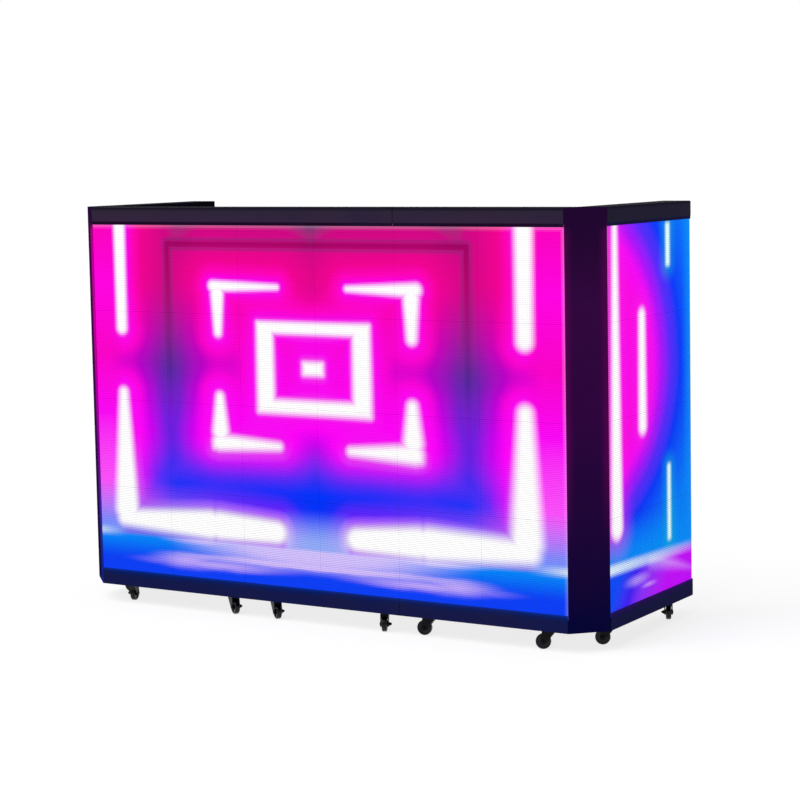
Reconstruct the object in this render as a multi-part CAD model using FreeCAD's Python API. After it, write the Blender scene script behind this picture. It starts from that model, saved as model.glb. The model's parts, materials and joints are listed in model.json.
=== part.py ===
import FreeCAD, Part
import math
import os

from FreeCAD import Placement, Rotation, Vector

# Booth front of LED screen cabinets: three cabinets in a row, one folding wing cabinet at each end,
# a 45 degree column in each corner, rails above, plinths below and swivel casters under all.
# Lengths are in millimetres and angles in degrees. The floor is Z = 0, the front looks along -Y,
# and the origin is the middle of the footprint on the floor.

# Cabinets and panels
unit_width = 500.0
unit_height = 1000.0
front_units = (-1, 0, 1)
panel_depth = 82.0
cabinet_gap = 0.4
wing_gap = 0.6
cabinet_sheet = 2.5
rim_width = 45.0
cover_recess = 10.0
ledge_width = 12.0
window_width = 120.0
window_height = 80.0

# LED tiles
tile_columns = 2
tile_rows = 4
tile_depth = 14.0
tile_gap = 0.3
tile_setback = 2.6

# Top rails and plinths
rail_rise = 41.0
rail_sheet = 2.5
rail_edge_round = 3.0
rail_joint_gap = 1.5
long_rail_units = 2
rail_lap = 7.5
shadow_strip_height = 8.5
shadow_strip_setback = 0.8
shadow_strip_sheet = 1.5
plinth_rise = 35.0
plinth_sheet = 2.5
plinth_lip_sheet = 2.0
plinth_lap = 11.5
plinth_edge_round = 1.5

# Corner columns
column_sheet = 2.5
column_edge_flat = 2.0
column_gap = 0.4

# Rear covers
cover_sheet = 2.0
cover_gap = 0.5
cover_corner_round = 4.0
vent_slot_width = 80.0
vent_slot_height = 3.5
vent_pitch = 11.0
vent_rows = 12
vent_column_offset = 95.0
vent_group_offset = 190.0
pull_width = 110.0
pull_height = 40.0
pull_depth = 22.0
pull_sheet = 2.0
pull_finger_room = 14.0
pull_drop = 90.0

# Sockets on the rear covers
socket_count = 2
socket_pitch = 70.0
socket_rise = 60.0
socket_flange_width = 26.0
socket_flange_height = 31.0
socket_flange_sheet = 2.0
socket_flange_round = 3.0
socket_body_radius = 11.8
socket_body_depth = 19.0
socket_hole_radius = 8.0
socket_hole_depth = 12.0
socket_cutout_gap = 0.2
socket_key_width = 4.0
socket_key_depth = 1.6

# Power supplies and receiver cards
supply_width = 110.0
supply_height = 200.0
supply_depth = 30.0
supply_flange = 12.0
supply_flange_sheet = 2.0
supply_terminal_depth = 12.0
supply_terminal_height = 18.0
supply_rise = 110.0
card_width = 100.0
card_height = 130.0
card_sheet = 1.6
card_standoff = 8.0
card_standoff_radius = 3.5
card_standoff_inset = 7.0
card_plug_width = 34.0
card_plug_height = 9.0
card_plug_depth = 9.0
card_plug_rows = 4
card_drop = 150.0

# Screws and joining bolts
screw_shank_radius = 2.0
screw_head_radius = 4.0
screw_head_height = 2.2
screw_head_round = 1.0
screw_hex_across = 2.5
screw_hex_depth = 1.2
screw_hole_gap = 0.2
screw_grip = 8.0
screw_rows = 4
bolt_radius = 5.0
bolt_hole_gap = 0.25
bolt_head_across = 16.0
bolt_head_height = 6.5
bolt_nut_height = 8.0
bolt_end = 3.0
bolt_end_inset = 150.0

# Wing hinges
hinge_axis_offset = 8.0
hinge_knuckle_radius = 7.0
hinge_pin_radius = 3.0
hinge_pin_clearance = 0.05
hinge_pin_head_radius = 5.0
hinge_pin_head_height = 2.0
hinge_leaf_sheet = 3.0
hinge_leaf_width = 26.0
hinge_leaf_start = 9.0
hinge_height = 110.0
hinge_knuckle_gap = 0.4
hinge_end_inset = 140.0
hinge_leaf_round = 4.0
hinge_screw_shares = (0.18, 0.5, 0.82)

# Casters
caster_height = 53.0
front_caster_inset = 72.0
wing_caster_inset = 72.0
wheel_radius = 20.0
wheel_half_width = 7.0
wheel_edge_round = 3.5
wheel_rim_radius = 14.5
wheel_web_half = 4.5
wheel_hub_radius = 7.5
wheel_trail = 18.0
wheel_side_gap = 0.3
axle_radius = 3.0
axle_clearance = 0.05
axle_head_radius = 5.2
axle_head_height = 1.8
axle_head_round = 1.2
axle_nut_across = 9.0
axle_nut_height = 4.5
axle_end = 3.5
fork_sheet = 2.5
fork_leg_gap = 1.7
fork_rear_reach = 14.0
fork_fore_reach = 21.0
fork_wheel_gap = 1.5
fork_end_radius = 8.0
fork_bend_round = 2.0
swivel_race_radius = 15.0
swivel_race_height = 4.0
swivel_gap = 0.3
stem_radius = 4.0
stem_length = 26.0
stem_clearance = 0.05
stem_end_gap = 0.5
stem_boss_radius = 11.0
stem_boss_cap = 4.0
front_headings = (107.0, 326.0, 322.0, 298.0, 192.0, 203.0)
left_headings = (0.0, 240.0)
right_headings = (206.0, 297.0)
swapped_axles = ("right_2",)

# Overrun of every cut
overrun = 5.0

# Sizes that follow from the ones above
front_width = unit_width * len(front_units)
overall_width = front_width + 2 * panel_depth
overall_depth = panel_depth + wing_gap + unit_width
front_y = -overall_depth / 2
rear_y = front_y + panel_depth
wing_centre_y = rear_y + wing_gap + unit_width / 2
cabinet_bottom = caster_height + plinth_rise
cabinet_top = cabinet_bottom + unit_height
overall_height = cabinet_top + rail_rise
cabinet_middle = (cabinet_bottom + cabinet_top) / 2
cabinet_half = (unit_width - cabinet_gap) / 2
cabinet_front = tile_setback + tile_depth
web_back = cabinet_front + cabinet_sheet
cover_front = panel_depth - cover_recess
cover_back = cover_front + cover_sheet
cover_half = cabinet_half - rim_width - cover_gap
cover_bottom = cabinet_bottom + rim_width + cover_gap
cover_top = cabinet_top - rim_width - cover_gap

bolt_y = (web_back + cover_front) / 2
bolt_levels = (cabinet_bottom + bolt_end_inset, cabinet_top - bolt_end_inset)
bolt_hole_radius = bolt_radius + bolt_hole_gap
socket_z = cover_bottom + socket_rise
pull_z = cover_top - pull_drop

hinge_x = front_width / 2 - hinge_axis_offset
hinge_y = rear_y + hinge_axis_offset
hinge_bottoms = (cabinet_bottom + hinge_end_inset, cabinet_top - hinge_end_inset - hinge_height)
knuckle_height = (hinge_height - 2 * hinge_knuckle_gap) / 3

leg_inner = wheel_half_width + fork_leg_gap
leg_outer = leg_inner + fork_sheet
race_top = caster_height - swivel_gap
bridge_top = race_top - swivel_race_height
bridge_bottom = bridge_top - fork_sheet


def block(x0, x1, y0, y1, z0, z1):
    """A box between two corners."""
    return Part.makeBox(x1 - x0, y1 - y0, z1 - z0, Vector(x0, y0, z0))


def rod(radius, length, start, direction):
    return Part.makeCylinder(radius, length, start, direction)


def join(shapes):
    joined = shapes[0].fuse(shapes[1:])
    return joined.removeSplitter()


def edges_along(shape, direction, choose):
    """The straight edges of a shape that run along a direction and whose middle passes a test."""
    found = []
    for edge in shape.Edges:
        tangent = edge.tangentAt(edge.FirstParameter)
        middle = edge.BoundBox.Center
        if abs(abs(tangent.dot(direction)) - 1) < 1e-6 and choose(middle):
            found.append(edge)
    return found


def rounded_plate(x0, x1, y0, y1, z0, z1, radius):
    """A plate in the XZ plane with rounded corners."""
    plate = block(x0, x1, y0, y1, z0, z1)
    corners = edges_along(plate, Vector(0, 1, 0), lambda middle: True)
    return plate.makeFillet(radius, corners)


def hexagon(across, height, start, direction):
    """A hexagonal prism that stands on a point along a direction."""
    corner_radius = across / math.sqrt(3)
    corners = []
    for step in range(6):
        angle = math.radians(60 * step)
        corners.append(Vector(corner_radius * math.cos(angle), corner_radius * math.sin(angle), 0))
    corners.append(corners[0])
    prism = Part.Face(Part.makePolygon(corners)).extrude(Vector(0, 0, height))
    prism.Placement = Placement(start, Rotation(Vector(0, 0, 1), direction))
    return prism


def screw(seat, direction):
    """A button-head screw whose head sits on a point; direction points out of the surface."""
    head = rod(screw_head_radius, screw_head_height, Vector(0, 0, 0), Vector(0, 0, 1))
    rim = [edge for edge in head.Edges if edge.BoundBox.ZMin > screw_head_height / 2]
    head = head.makeFillet(screw_head_round, rim)
    shank = rod(screw_shank_radius, screw_grip, Vector(0, 0, -screw_grip), Vector(0, 0, 1))
    key_foot = Vector(0, 0, screw_head_height - screw_hex_depth)
    key = hexagon(screw_hex_across, screw_hex_depth, key_foot, Vector(0, 0, 1))
    piece = join([head, shank]).cut(key)
    piece.Placement = Placement(seat, Rotation(Vector(0, 0, 1), direction))
    return piece


def screw_hole(seat, direction):
    """The clearance hole of a screw."""
    depth = screw_grip + 2 * overrun
    start = seat + direction * overrun
    return rod(screw_shank_radius + screw_hole_gap, depth, start, direction * -1)


def in_front(unit):
    """Where a front unit stands: 0 is the middle of the front."""
    return Placement(Vector(unit * unit_width, front_y, 0), Rotation())


def in_wing(side):
    """Where a wing's unit stands: side is -1 on the left and 1 on the right."""
    turn = Rotation(Vector(0, 0, 1), 90 * side)
    return Placement(Vector(side * overall_width / 2, wing_centre_y, 0), turn)


def placed(shape, where):
    moved = shape.copy()
    moved.Placement = where.multiply(moved.Placement)
    return moved


# One unit, drawn about its own middle: its front plane is Y = 0 and its rear plane is Y = panel_depth

def led_tiles():
    """The square LED tiles of one cabinet."""
    tile_width = unit_width / tile_columns
    tile_height = unit_height / tile_rows
    tiles = []
    for column in range(tile_columns):
        for row in range(tile_rows):
            x0 = column * tile_width - unit_width / 2
            z0 = cabinet_bottom + row * tile_height
            tiles.append(block(x0 + tile_gap / 2, x0 + tile_width - tile_gap / 2,
                               tile_setback, cabinet_front,
                               z0 + tile_gap / 2, z0 + tile_height - tile_gap / 2))
    return tiles


def cover_screw_seats():
    """Where the cover screws sit: down both sides, and one in the middle of the top and bottom."""
    reach = cover_half - ledge_width / 2
    low = cover_bottom + ledge_width / 2
    high = cover_top - ledge_width / 2
    seats = [Vector(0, cover_back, low), Vector(0, cover_back, high)]
    for row in range(screw_rows):
        z = low + (high - low) * row / (screw_rows - 1)
        seats.append(Vector(-reach, cover_back, z))
        seats.append(Vector(reach, cover_back, z))
    return seats


def socket_places():
    """The middles of the sockets on the back of a cover."""
    first = -socket_pitch * (socket_count - 1) / 2
    return [Vector(first + socket_pitch * number, cover_back, socket_z) for number in range(socket_count)]


def cabinet(bolted_sides, hinge_seats):
    """The folded tray behind the tiles: a front web with cable windows, side walls, and a rear rim that
    steps down to a ledge for the cover."""
    tray = block(-cabinet_half, cabinet_half, cabinet_front, panel_depth, cabinet_bottom, cabinet_top)
    tray = tray.cut(block(-cabinet_half + cabinet_sheet, cabinet_half - cabinet_sheet,
                          web_back, panel_depth - cabinet_sheet,
                          cabinet_bottom + cabinet_sheet, cabinet_top - cabinet_sheet))
    step_half = cabinet_half - rim_width
    step_bottom = cabinet_bottom + rim_width
    step_top = cabinet_top - rim_width
    step = block(-step_half - cabinet_sheet, step_half + cabinet_sheet,
                 cover_front - cabinet_sheet, panel_depth,
                 step_bottom - cabinet_sheet, step_top + cabinet_sheet)
    tray = join([tray, step])
    cuts = [block(-step_half, step_half, cover_front, panel_depth + overrun, step_bottom, step_top)]
    cuts.append(block(-step_half + ledge_width, step_half - ledge_width,
                      cover_front - cabinet_sheet - overrun, panel_depth,
                      step_bottom + ledge_width, step_top - ledge_width))
    for tile in led_tiles():
        middle = tile.BoundBox.Center
        cuts.append(block(middle.x - window_width / 2, middle.x + window_width / 2,
                          cabinet_front - overrun, web_back + cabinet_sheet,
                          middle.z - window_height / 2, middle.z + window_height / 2))
    for side in bolted_sides:
        for z in bolt_levels:
            start = Vector(side * (cabinet_half + overrun), bolt_y, z)
            cuts.append(rod(bolt_hole_radius, cabinet_sheet + 2 * overrun, start, Vector(-side, 0, 0)))
    for seat in cover_screw_seats():
        cuts.append(screw_hole(seat, Vector(0, 1, 0)))
    for seat in hinge_seats:
        cuts.append(screw_hole(seat, Vector(0, 1, 0)))
    return tray.cut(cuts)


def rear_cover():
    """The screwed cover of a cabinet, with air slots, socket holes and a pull pocket."""
    plate = rounded_plate(-cover_half, cover_half, cover_front, cover_back, cover_bottom, cover_top,
                          cover_corner_round)
    cup_half = pull_width / 2 + pull_sheet
    cup_bottom = pull_z - pull_height / 2 - pull_sheet
    cup_top = pull_z + pull_height / 2 + pull_finger_room + pull_sheet
    cup_back = cover_back - pull_depth
    cup = block(-cup_half, cup_half, cup_back - pull_sheet, cover_front, cup_bottom, cup_top)
    cup = cup.cut(block(-pull_width / 2, pull_width / 2, cup_back, cover_front + overrun,
                        cup_bottom + pull_sheet, cup_top - pull_sheet))
    cover = join([plate, cup])
    front = cover_front - overrun
    back = cover_back + overrun
    cuts = [block(-pull_width / 2, pull_width / 2, cover_front - cover_sheet, back,
                  pull_z - pull_height / 2, pull_z + pull_height / 2)]
    for group in (-1, 1):
        first = cabinet_middle + group * vent_group_offset - vent_pitch * (vent_rows - 1) / 2
        for column in (-1, 1):
            x = column * vent_column_offset
            for row in range(vent_rows):
                z = first + row * vent_pitch
                cuts.append(block(x - vent_slot_width / 2, x + vent_slot_width / 2, front, back,
                                  z - vent_slot_height / 2, z + vent_slot_height / 2))
    for place in socket_places():
        start = Vector(place.x, front, place.z)
        cuts.append(rod(socket_body_radius + socket_cutout_gap, back - front, start, Vector(0, 1, 0)))
    for seat in cover_screw_seats():
        cuts.append(screw_hole(seat, Vector(0, 1, 0)))
    return cover.cut(cuts)


def sockets():
    """The round power and data sockets of a cabinet, each on a rectangular flange."""
    pieces = []
    for place in socket_places():
        flange = rounded_plate(place.x - socket_flange_width / 2, place.x + socket_flange_width / 2,
                               cover_back, cover_back + socket_flange_sheet,
                               place.z - socket_flange_height / 2, place.z + socket_flange_height / 2,
                               socket_flange_round)
        face = Vector(place.x, cover_back + socket_flange_sheet, place.z)
        mouth = face + Vector(0, overrun, 0)
        body = rod(socket_body_radius, socket_body_depth, place, Vector(0, -1, 0))
        hole = rod(socket_hole_radius, socket_hole_depth + overrun, mouth, Vector(0, -1, 0))
        key = block(place.x - socket_key_width / 2, place.x + socket_key_width / 2,
                    face.y - socket_hole_depth, face.y + overrun,
                    place.z, place.z + socket_hole_radius + socket_key_depth)
        pieces.append(join([flange, body]).cut([hole, key]))
    return pieces


def power_supply():
    """A flat metal-cased power supply that stands on the web between the cable windows."""
    z = cabinet_middle + supply_rise
    case = block(-supply_width / 2, supply_width / 2, web_back, web_back + supply_depth,
                 z - supply_height / 2, z + supply_height / 2)
    flange = block(-supply_width / 2, supply_width / 2, web_back, web_back + supply_flange_sheet,
                   z - supply_height / 2 - supply_flange, z + supply_height / 2 + supply_flange)
    notch = block(-supply_width / 2 - overrun, supply_width / 2 + overrun,
                  web_back + supply_terminal_depth, web_back + supply_depth + overrun,
                  z - supply_height / 2 - overrun, z - supply_height / 2 + supply_terminal_height)
    return join([case.cut(notch), flange])


def receiver_card():
    """The receiver card: a board on standoffs with rows of plugs."""
    z = cabinet_middle - card_drop
    board_front = web_back + card_standoff
    board_back = board_front + card_sheet
    pieces = [block(-card_width / 2, card_width / 2, board_front, board_back,
                    z - card_height / 2, z + card_height / 2)]
    for column in (-1, 1):
        x = column * (card_width / 2 - card_standoff_inset)
        for row in (-1, 1):
            foot = Vector(x, web_back, z + row * (card_height / 2 - card_standoff_inset))
            pieces.append(rod(card_standoff_radius, card_standoff, foot, Vector(0, 1, 0)))
    pitch = card_height / (card_plug_rows + 1)
    for row in range(card_plug_rows):
        plug_z = z - card_height / 2 + pitch * (row + 1)
        pieces.append(block(-card_plug_width / 2, card_plug_width / 2,
                            board_back, board_back + card_plug_depth,
                            plug_z - card_plug_height / 2, plug_z + card_plug_height / 2))
    return join(pieces)


def top_rail(x0, x1):
    """A folded cap that stands on the cabinets, with a set-back strip that laps over the tiles."""
    cap = block(x0, x1, 0, panel_depth, cabinet_top, overall_height)
    upper = edges_along(cap, Vector(1, 0, 0), lambda middle: middle.z > cabinet_top + rail_rise / 2)
    cap = cap.makeFillet(rail_edge_round, upper)
    hollow = block(x0 + rail_sheet, x1 - rail_sheet, rail_sheet, panel_depth - rail_sheet,
                   cabinet_top - overrun, overall_height - rail_sheet)
    strip_bottom = cabinet_top - rail_lap
    strip_top = strip_bottom + shadow_strip_height
    groove = block(x0 - overrun, x1 + overrun, -overrun, shadow_strip_setback,
                   cabinet_top - overrun, strip_top)
    strip = block(x0, x1, shadow_strip_setback, shadow_strip_setback + shadow_strip_sheet,
                  strip_bottom, strip_top)
    return join([cap.cut([hollow, groove]), strip])


def plinth(x0, x1, stems):
    """A folded tray under the cabinets, with a lip over the tiles and a boss for each caster stem."""
    tray = block(x0, x1, 0, panel_depth, caster_height, cabinet_bottom)
    lower = edges_along(tray, Vector(1, 0, 0), lambda middle: middle.z < caster_height + plinth_rise / 2)
    tray = tray.makeFillet(plinth_edge_round, lower)
    hollow = block(x0 + plinth_sheet, x1 - plinth_sheet, plinth_sheet, panel_depth - plinth_sheet,
                   caster_height + plinth_sheet, cabinet_bottom + overrun)
    lip = block(x0, x1, 0, plinth_lip_sheet, cabinet_bottom - plinth_sheet, cabinet_bottom + plinth_lap)
    pieces = [tray.cut(hollow), lip]
    bores = []
    bore_depth = stem_length + stem_end_gap
    for x in stems:
        foot = Vector(x, panel_depth / 2, caster_height)
        pieces.append(rod(stem_boss_radius, bore_depth + stem_boss_cap, foot, Vector(0, 0, 1)))
        bores.append(rod(stem_radius + stem_clearance, bore_depth + overrun,
                         foot - Vector(0, 0, overrun), Vector(0, 0, 1)))
    return join(pieces).cut(bores)


def joining_bolt(start, direction, grip):
    """A hexagon bolt whose head sits at a point and whose nut sits a grip further on."""
    head = hexagon(bolt_head_across, bolt_head_height, start, direction * -1)
    shank = rod(bolt_radius, grip + bolt_nut_height + bolt_end, start, direction)
    nut = hexagon(bolt_head_across, bolt_nut_height, start + direction * grip, direction)
    nut = nut.cut(rod(bolt_radius, grip + bolt_nut_height + bolt_end, start, direction))
    return [join([head, shank]), nut]


# Pieces between units, drawn in the booth's own frame

def corner_column():
    """The right-hand column: a hollow triangle whose long face makes the 45 degree corner."""
    x0 = front_width / 2 + column_gap
    y0 = front_y
    leg = panel_depth - column_gap
    flat = column_edge_flat
    outline = [Vector(x0, y0 + panel_depth, caster_height),
               Vector(x0, y0 + flat, caster_height),
               Vector(x0 + flat, y0 + flat, caster_height),
               Vector(x0 + leg - flat, y0 + leg - flat, caster_height),
               Vector(x0 + leg - flat, y0 + panel_depth, caster_height)]
    face = Part.Face(Part.makePolygon(outline + [outline[0]]))
    height = overall_height - caster_height
    post = face.extrude(Vector(0, 0, height))
    hollow = face.makeOffset2D(-column_sheet).extrude(Vector(0, 0, height - column_sheet + overrun))
    hollow.translate(Vector(0, 0, -overrun))
    holes = []
    for z in bolt_levels:
        start = Vector(x0 - overrun, y0 + bolt_y, z)
        holes.append(rod(bolt_hole_radius, column_sheet + 2 * overrun, start, Vector(1, 0, 0)))
    return post.cut([hollow] + holes)


def hinge_screw_seats():
    """Where the screws of the right-hand front leaves sit, in the booth's own frame."""
    x = hinge_x - hinge_leaf_start - hinge_leaf_width / 2
    seats = []
    for bottom in hinge_bottoms:
        for share in hinge_screw_shares:
            seats.append(Vector(x, rear_y + hinge_leaf_sheet, bottom + share * hinge_height))
    return seats


def hinge_leaf(bottom, knuckles):
    """A leaf that lies on the rear plane of the front, with the given knuckles of the three."""
    x1 = hinge_x - hinge_leaf_start
    plate = rounded_plate(x1 - hinge_leaf_width, x1, rear_y, rear_y + hinge_leaf_sheet,
                          bottom, bottom + hinge_height, hinge_leaf_round)
    pieces = [plate]
    for knuckle in knuckles:
        z0 = bottom + knuckle * (knuckle_height + hinge_knuckle_gap)
        z1 = z0 + knuckle_height
        pieces.append(block(x1 - hinge_leaf_round, hinge_x, rear_y, rear_y + hinge_leaf_sheet, z0, z1))
        pieces.append(block(hinge_x - hinge_knuckle_radius, hinge_x, rear_y, hinge_y, z0, z1))
        pieces.append(rod(hinge_knuckle_radius, knuckle_height,
                          Vector(hinge_x, hinge_y, z0), Vector(0, 0, 1)))
    return join(pieces)


def front_leaf(bottom):
    """The leaf with the two outer knuckles, which grip the pin."""
    bore = rod(hinge_pin_radius, hinge_height + 2 * overrun,
               Vector(hinge_x, hinge_y, bottom - overrun), Vector(0, 0, 1))
    holes = [screw_hole(seat, Vector(0, 1, 0)) for seat in hinge_screw_seats()]
    return hinge_leaf(bottom, (0, 2)).cut([bore] + holes)


def wing_leaf(bottom):
    """The leaf with the middle knuckle, which turns on the pin; it is the front leaf's mirror image
    in the 45 degree plane through the pin."""
    bore = rod(hinge_pin_radius + hinge_pin_clearance, hinge_height + 2 * overrun,
               Vector(hinge_x, hinge_y, bottom - overrun), Vector(0, 0, 1))
    holes = [screw_hole(seat, Vector(0, 1, 0)) for seat in hinge_screw_seats()]
    leaf = hinge_leaf(bottom, (1,)).cut([bore] + holes)
    return leaf.mirror(Vector(hinge_x, hinge_y, 0), Vector(1, 1, 0))


def hinge_pin(bottom):
    top = bottom + hinge_height
    pin = rod(hinge_pin_radius, hinge_height, Vector(hinge_x, hinge_y, bottom), Vector(0, 0, 1))
    head = rod(hinge_pin_head_radius, hinge_pin_head_height,
               Vector(hinge_x, hinge_y, top), Vector(0, 0, 1))
    return join([pin, head])


def on_side(shape, side):
    """A right-hand piece as it is for 1, and mirrored to the left for -1."""
    if side > 0:
        return shape
    return shape.mirror(Vector(0, 0, 0), Vector(1, 0, 0))


# Casters, drawn about the stem: the wheel trails along +X

def tangent_point(point, centre, radius, side):
    """Where a line from a point touches a circle in the XZ plane, on the given side."""
    reach = centre - point
    distance = reach.Length
    bearing = math.atan2(reach.z, reach.x) + side * math.asin(radius / distance)
    length = math.sqrt(distance ** 2 - radius ** 2)
    return point + Vector(length * math.cos(bearing), 0, length * math.sin(bearing))


def fork_side_view():
    """The fork from the side: flat at the top, and tapering down to a round end at the axle."""
    centre = Vector(wheel_trail, -leg_outer, wheel_radius)
    rear = Vector(-fork_rear_reach, -leg_outer, bridge_bottom)
    fore = Vector(fork_fore_reach, -leg_outer, bridge_bottom)
    rear_touch = tangent_point(rear, centre, fork_end_radius, -1)
    fore_touch = tangent_point(fore, centre, fork_end_radius, 1)
    bottom = centre - Vector(0, 0, fork_end_radius)
    rise = Vector(0, 0, fork_sheet)
    edges = [Part.makeLine(rear, rear_touch),
             Part.Arc(rear_touch, bottom, fore_touch).toShape(),
             Part.makeLine(fore_touch, fore),
             Part.makeLine(fore, fore + rise),
             Part.makeLine(fore + rise, rear + rise),
             Part.makeLine(rear + rise, rear)]
    return Part.Face(Part.Wire(edges))


def caster_fork(nut_side):
    """The hooded fork with its swivel race, the stem that turns in the plinth, the axle and its nut."""
    fork = fork_side_view().extrude(Vector(0, 2 * leg_outer, 0))
    wheel_room = rod(wheel_radius + fork_wheel_gap, 2 * leg_inner,
                     Vector(wheel_trail, -leg_inner, wheel_radius), Vector(0, 1, 0))
    fork = fork.cut(wheel_room)
    bends = edges_along(fork, Vector(1, 0, 0),
                        lambda middle: abs(middle.z - bridge_top) < fork_sheet / 2
                        and abs(middle.y) > leg_inner)
    fork = fork.makeFillet(fork_bend_round, bends)
    race = rod(swivel_race_radius, swivel_race_height, Vector(0, 0, bridge_top), Vector(0, 0, 1))
    stem_foot = Vector(0, 0, bridge_bottom)
    stem = rod(stem_radius, caster_height + stem_length - bridge_bottom, stem_foot, Vector(0, 0, 1))
    outward = Vector(0, nut_side, 0)
    axle_start = Vector(wheel_trail, -nut_side * leg_outer, wheel_radius)
    axle = rod(axle_radius, 2 * leg_outer + axle_nut_height + axle_end, axle_start, outward)
    fork = join([fork, race]).cut([stem, axle])
    axle_head = rod(axle_head_radius, axle_head_height, axle_start, outward * -1)
    dome = [edge for edge in axle_head.Edges
            if min(abs(edge.BoundBox.YMin), abs(edge.BoundBox.YMax)) > leg_outer + axle_head_height / 2]
    axle_head = axle_head.makeFillet(axle_head_round, dome)
    nut_foot = Vector(wheel_trail, nut_side * leg_outer, wheel_radius)
    nut = hexagon(axle_nut_across, axle_nut_height, nut_foot, outward)
    return [fork, stem, join([axle, axle_head]), nut.cut(axle)]


def caster_wheel():
    """The moulded wheel: a tyre with rounded edges, dished sides and a hub that runs on the axle."""
    hub_half = leg_inner - wheel_side_gap
    bore = axle_radius + axle_clearance
    shoulder = wheel_radius - wheel_edge_round
    corner = wheel_half_width - wheel_edge_round
    slant = wheel_edge_round * math.sqrt(0.5)

    def at(radius, along):
        return Vector(radius, 0, along)

    lower = [at(bore, -hub_half), at(wheel_hub_radius, -hub_half), at(wheel_hub_radius, -wheel_web_half),
             at(wheel_rim_radius, -wheel_web_half), at(wheel_rim_radius, -wheel_half_width),
             at(shoulder, -wheel_half_width)]
    upper = [Vector(point.x, 0, -point.z) for point in reversed(lower)]
    edges = [Part.makeLine(lower[i], lower[i + 1]) for i in range(len(lower) - 1)]
    tread = [at(wheel_radius, -corner), at(wheel_radius, corner)]
    edges.append(Part.Arc(lower[-1], at(shoulder + slant, -corner - slant), tread[0]).toShape())
    edges.append(Part.makeLine(tread[0], tread[1]))
    edges.append(Part.Arc(tread[1], at(shoulder + slant, corner + slant), upper[0]).toShape())
    edges += [Part.makeLine(upper[i], upper[i + 1]) for i in range(len(upper) - 1)]
    edges.append(Part.makeLine(upper[-1], lower[0]))
    wheel = Part.Face(Part.Wire(edges)).revolve(Vector(0, 0, 0), Vector(0, 0, 1), 360)
    wheel.Placement = Placement(Vector(wheel_trail, 0, wheel_radius), Rotation(Vector(1, 0, 0), 90))
    return wheel


# Write every node

def export(name, solids):
    shape = solids[0] if len(solids) == 1 else Part.makeCompound(solids)
    shape.exportStep("parts/" + name + ".step")


def export_caster(name, x, y, heading):
    where = Placement(Vector(x, y, 0), Rotation(Vector(0, 0, 1), heading))
    nut_side = -1 if name in swapped_axles else 1
    export("caster_fork_" + name, [placed(piece, where) for piece in caster_fork(nut_side)])
    export("caster_wheel_" + name, [placed(caster_wheel(), where)])


def front_stems():
    """The caster stems under the front, from left to right."""
    reach = unit_width / 2 - front_caster_inset
    return [unit * unit_width + side * reach for unit in front_units for side in (-1, 1)]


def export_front():
    names = {-1: "left", 0: "centre", 1: "right"}
    tiles = []
    supplies = []
    cards = []
    plugs = []
    screws = []
    bolts = []
    for unit in front_units:
        where = in_front(unit)
        seats = []
        if unit in (front_units[0], front_units[-1]):
            for seat in hinge_screw_seats():
                seats.append(Vector(unit * seat.x - unit * unit_width, seat.y - front_y, seat.z))
        tray = cabinet((-1, 1), seats)
        export("front_cabinet_" + names[unit], [placed(tray, where)])
        export("front_cover_" + names[unit], [placed(rear_cover(), where)])
        tiles += [placed(tile, where) for tile in led_tiles()]
        supplies.append(placed(power_supply(), where))
        cards.append(placed(receiver_card(), where))
        plugs += [placed(socket, where) for socket in sockets()]
        screws += [placed(screw(seat, Vector(0, 1, 0)), where) for seat in cover_screw_seats() + seats]
    export("front_led_tiles", tiles)
    export("front_power_supplies", supplies)
    export("front_receiver_cards", cards)
    export("front_sockets", plugs)
    export("front_screws", screws)

    joints = [(unit + 0.5) * unit_width for unit in front_units[:-1]]
    wall_pair = 2 * cabinet_sheet + cabinet_gap
    column_pair = cabinet_sheet + column_sheet + column_gap + cabinet_gap / 2
    for z in bolt_levels:
        for x in joints:
            start = Vector(x - cabinet_gap / 2 - cabinet_sheet, front_y + bolt_y, z)
            bolts += joining_bolt(start, Vector(1, 0, 0), wall_pair)
        for side in (-1, 1):
            inner = front_width / 2 - cabinet_gap / 2 - cabinet_sheet
            start = Vector(side * inner, front_y + bolt_y, z)
            bolts += joining_bolt(start, Vector(side, 0, 0), column_pair)
    export("joining_bolts", bolts)

    left_end = -front_width / 2 + cabinet_gap / 2
    right_end = front_width / 2 - cabinet_gap / 2
    joint = -front_width / 2 + long_rail_units * unit_width
    spans = {"long": (left_end, joint - rail_joint_gap / 2),
             "short": (joint + rail_joint_gap / 2, right_end)}
    for name, (x0, x1) in spans.items():
        stems = [x for x in front_stems() if x0 < x < x1]
        export("front_top_rail_" + name, [placed(top_rail(x0, x1), in_front(0))])
        export("front_plinth_" + name, [placed(plinth(x0, x1, stems), in_front(0))])

    export("corner_column_left", [on_side(corner_column(), -1)])
    export("corner_column_right", [corner_column()])
    sides = [(side, bottom) for side in (-1, 1) for bottom in hinge_bottoms]
    export("front_hinge_leaves", [on_side(front_leaf(bottom), side) for side, bottom in sides])
    export("hinge_pins", [on_side(hinge_pin(bottom), side) for side, bottom in sides])
    for number, (x, heading) in enumerate(zip(front_stems(), front_headings), start=1):
        export_caster("front_" + str(number), x, front_y + panel_depth / 2, heading)


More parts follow.
